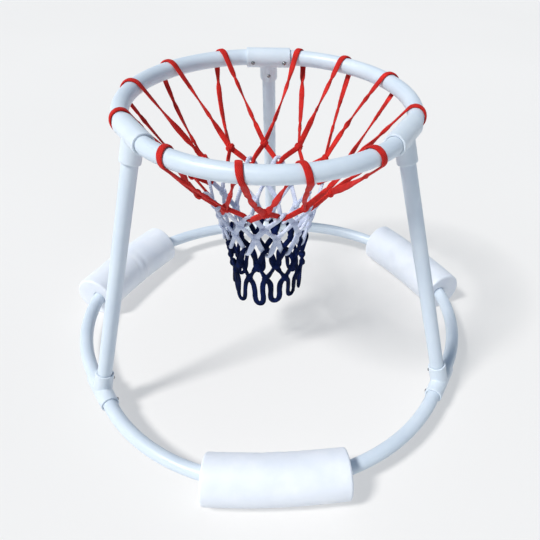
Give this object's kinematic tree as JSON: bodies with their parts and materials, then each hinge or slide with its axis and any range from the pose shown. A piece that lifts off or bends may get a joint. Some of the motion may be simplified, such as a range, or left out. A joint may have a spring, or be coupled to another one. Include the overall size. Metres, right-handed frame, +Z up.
{
  "type": "floating basketball hoop",
  "caption": "Floating pool basketball hoop: round tube rim with a knotted net on leaning uprights over a wide base ring held up by foam sleeves.",
  "frame": {"origin": "on the floor under the middle of the whole, 24 mm in front of the rim's middle", "axes": "+Z up; -Y is the front, where one foam sleeve lies between two uprights; the third upright is at +Y"},
  "size_m": [0.9062, 0.8634, 0.561],
  "materials": {
    "pvc": "satin white PVC pipe and fittings",
    "foam": "smooth skinned closed-cell foam",
    "button_steel": "bright",
    "spring_steel": "plain",
    "red_cord": "braided nylon",
    "white_cord": "braided nylon",
    "blue_cord": "braided nylon"
  },
  "bodies": {
    "frame": {"rim_tube_front": "pvc", "rim_tube_left": "pvc", "rim_tube_right": "pvc", "base_tube_front": "pvc", "base_tube_left": "pvc", "base_tube_right": "pvc", "rim_tee_back": "pvc", "upright_back": "pvc", "base_tee_back": "pvc", "rim_tee_left": "pvc", "upright_left": "pvc", "base_tee_left": "pvc", "rim_tee_right": "pvc", "upright_right": "pvc", "base_tee_right": "pvc", "net_red": "red_cord", "net_white": "white_cord", "net_blue": "blue_cord", "spring_rim_back_cw": "spring_steel", "spring_rim_back_ccw": "spring_steel", "spring_rim_back_post": "spring_steel", "spring_rim_left_cw": "spring_steel", "spring_rim_left_ccw": "spring_steel", "spring_rim_left_post": "spring_steel", "spring_rim_right_cw": "spring_steel", "spring_rim_right_ccw": "spring_steel", "spring_rim_right_post": "spring_steel", "spring_base_back_cw": "spring_steel", "spring_base_back_ccw": "spring_steel", "spring_base_back_post": "spring_steel", "spring_base_left_cw": "spring_steel", "spring_base_left_ccw": "spring_steel", "spring_base_left_post": "spring_steel", "spring_base_right_cw": "spring_steel", "spring_base_right_ccw": "spring_steel", "spring_base_right_post": "spring_steel"},
    "float_front": {"float_front": "foam"},
    "float_left": {"float_left": "foam"},
    "float_right": {"float_right": "foam"},
    "button_rim_back_cw": {"button_rim_back_cw": "button_steel"},
    "button_rim_back_ccw": {"button_rim_back_ccw": "button_steel"},
    "button_rim_back_post": {"button_rim_back_post": "button_steel"},
    "button_rim_left_cw": {"button_rim_left_cw": "button_steel"},
    "button_rim_left_ccw": {"button_rim_left_ccw": "button_steel"},
    "button_rim_left_post": {"button_rim_left_post": "button_steel"},
    "button_rim_right_cw": {"button_rim_right_cw": "button_steel"},
    "button_rim_right_ccw": {"button_rim_right_ccw": "button_steel"},
    "button_rim_right_post": {"button_rim_right_post": "button_steel"},
    "button_base_back_cw": {"button_base_back_cw": "button_steel"},
    "button_base_back_ccw": {"button_base_back_ccw": "button_steel"},
    "button_base_back_post": {"button_base_back_post": "button_steel"},
    "button_base_left_cw": {"button_base_left_cw": "button_steel"},
    "button_base_left_ccw": {"button_base_left_ccw": "button_steel"},
    "button_base_left_post": {"button_base_left_post": "button_steel"},
    "button_base_right_cw": {"button_base_right_cw": "button_steel"},
    "button_base_right_ccw": {"button_base_right_ccw": "button_steel"},
    "button_base_right_post": {"button_base_right_post": "button_steel"}
  },
  "joints": [
    {"name": "float_front_slide_round", "type": "hinge", "parent": "frame", "child": "float_front", "pos_m": [0, -0.02758, 0.0461], "axis": [0, 0, 1], "range_deg": [-39, 39]},
    {"name": "float_left_slide_round", "type": "hinge", "parent": "frame", "child": "float_left", "pos_m": [-0.045, 0.05037, 0.0461], "axis": [0, 0, 1], "range_deg": [-39, 39]},
    {"name": "float_right_slide_round", "type": "hinge", "parent": "frame", "child": "float_right", "pos_m": [0.045, 0.05037, 0.0461], "axis": [0, 0, 1], "range_deg": [-39, 39]},
    {"name": "button_rim_back_cw_press", "type": "slide", "parent": "frame", "child": "button_rim_back_cw", "axis": [0, -0.9568, -0.2907], "range_m": [-0.0072, 0], "stiffness_N_per_m": 800, "springref_m": 0.004, "deforming": ["spring_rim_back_cw"]},
    {"name": "button_rim_back_ccw_press", "type": "slide", "parent": "frame", "child": "button_rim_back_ccw", "axis": [0, -0.9568, -0.2907], "range_m": [-0.0072, 0], "stiffness_N_per_m": 800, "springref_m": 0.004, "deforming": ["spring_rim_back_ccw"]},
    {"name": "button_rim_back_post_press", "type": "slide", "parent": "frame", "child": "button_rim_back_post", "axis": [0, -0.9568, -0.2907], "range_m": [-0.0072, 0], "stiffness_N_per_m": 800, "springref_m": 0.004, "deforming": ["spring_rim_back_post"]},
    {"name": "button_rim_left_cw_press", "type": "slide", "parent": "frame", "child": "button_rim_left_cw", "axis": [0.8286, 0.4784, -0.2907], "range_m": [-0.0072, 0], "stiffness_N_per_m": 800, "springref_m": 0.004, "deforming": ["spring_rim_left_cw"]},
    {"name": "button_rim_left_ccw_press", "type": "slide", "parent": "frame", "child": "button_rim_left_ccw", "axis": [0.8286, 0.4784, -0.2907], "range_m": [-0.0072, 0], "stiffness_N_per_m": 800, "springref_m": 0.004, "deforming": ["spring_rim_left_ccw"]},
    {"name": "button_rim_left_post_press", "type": "slide", "parent": "frame", "child": "button_rim_left_post", "axis": [0.8286, 0.4784, -0.2907], "range_m": [-0.0072, 0], "stiffness_N_per_m": 800, "springref_m": 0.004, "deforming": ["spring_rim_left_post"]},
    {"name": "button_rim_right_cw_press", "type": "slide", "parent": "frame", "child": "button_rim_right_cw", "axis": [-0.8286, 0.4784, -0.2907], "range_m": [-0.0072, 0], "stiffness_N_per_m": 800, "springref_m": 0.004, "deforming": ["spring_rim_right_cw"]},
    {"name": "button_rim_right_ccw_press", "type": "slide", "parent": "frame", "child": "button_rim_right_ccw", "axis": [-0.8286, 0.4784, -0.2907], "range_m": [-0.0072, 0], "stiffness_N_per_m": 800, "springref_m": 0.004, "deforming": ["spring_rim_right_ccw"]},
    {"name": "button_rim_right_post_press", "type": "slide", "parent": "frame", "child": "button_rim_right_post", "axis": [-0.8286, 0.4784, -0.2907], "range_m": [-0.0072, 0], "stiffness_N_per_m": 800, "springref_m": 0.004, "deforming": ["spring_rim_right_post"]},
    {"name": "button_base_back_cw_press", "type": "slide", "parent": "frame", "child": "button_base_back_cw", "axis": [0, -0.9568, -0.2907], "range_m": [-0.0072, 0], "stiffness_N_per_m": 800, "springref_m": 0.004, "deforming": ["spring_base_back_cw"]},
    {"name": "button_base_back_ccw_press", "type": "slide", "parent": "frame", "child": "button_base_back_ccw", "axis": [0, -0.9568, -0.2907], "range_m": [-0.0072, 0], "stiffness_N_per_m": 800, "springref_m": 0.004, "deforming": ["spring_base_back_ccw"]},
    {"name": "button_base_back_post_press", "type": "slide", "parent": "frame", "child": "button_base_back_post", "axis": [0, -0.9568, -0.2907], "range_m": [-0.0072, 0], "stiffness_N_per_m": 800, "springref_m": 0.004, "deforming": ["spring_base_back_post"]},
    {"name": "button_base_left_cw_press", "type": "slide", "parent": "frame", "child": "button_base_left_cw", "axis": [0.8286, 0.4784, -0.2907], "range_m": [-0.0072, 0], "stiffness_N_per_m": 800, "springref_m": 0.004, "deforming": ["spring_base_left_cw"]},
    {"name": "button_base_left_ccw_press", "type": "slide", "parent": "frame", "child": "button_base_left_ccw", "axis": [0.8286, 0.4784, -0.2907], "range_m": [-0.0072, 0], "stiffness_N_per_m": 800, "springref_m": 0.004, "deforming": ["spring_base_left_ccw"]},
    {"name": "button_base_left_post_press", "type": "slide", "parent": "frame", "child": "button_base_left_post", "axis": [0.8286, 0.4784, -0.2907], "range_m": [-0.0072, 0], "stiffness_N_per_m": 800, "springref_m": 0.004, "deforming": ["spring_base_left_post"]},
    {"name": "button_base_right_cw_press", "type": "slide", "parent": "frame", "child": "button_base_right_cw", "axis": [-0.8286, 0.4784, -0.2907], "range_m": [-0.0072, 0], "stiffness_N_per_m": 800, "springref_m": 0.004, "deforming": ["spring_base_right_cw"]},
    {"name": "button_base_right_ccw_press", "type": "slide", "parent": "frame", "child": "button_base_right_ccw", "axis": [-0.8286, 0.4784, -0.2907], "range_m": [-0.0072, 0], "stiffness_N_per_m": 800, "springref_m": 0.004, "deforming": ["spring_base_right_ccw"]},
    {"name": "button_base_right_post_press", "type": "slide", "parent": "frame", "child": "button_base_right_post", "axis": [-0.8286, 0.4784, -0.2907], "range_m": [-0.0072, 0], "stiffness_N_per_m": 800, "springref_m": 0.004, "deforming": ["spring_base_right_post"]}
  ]
}
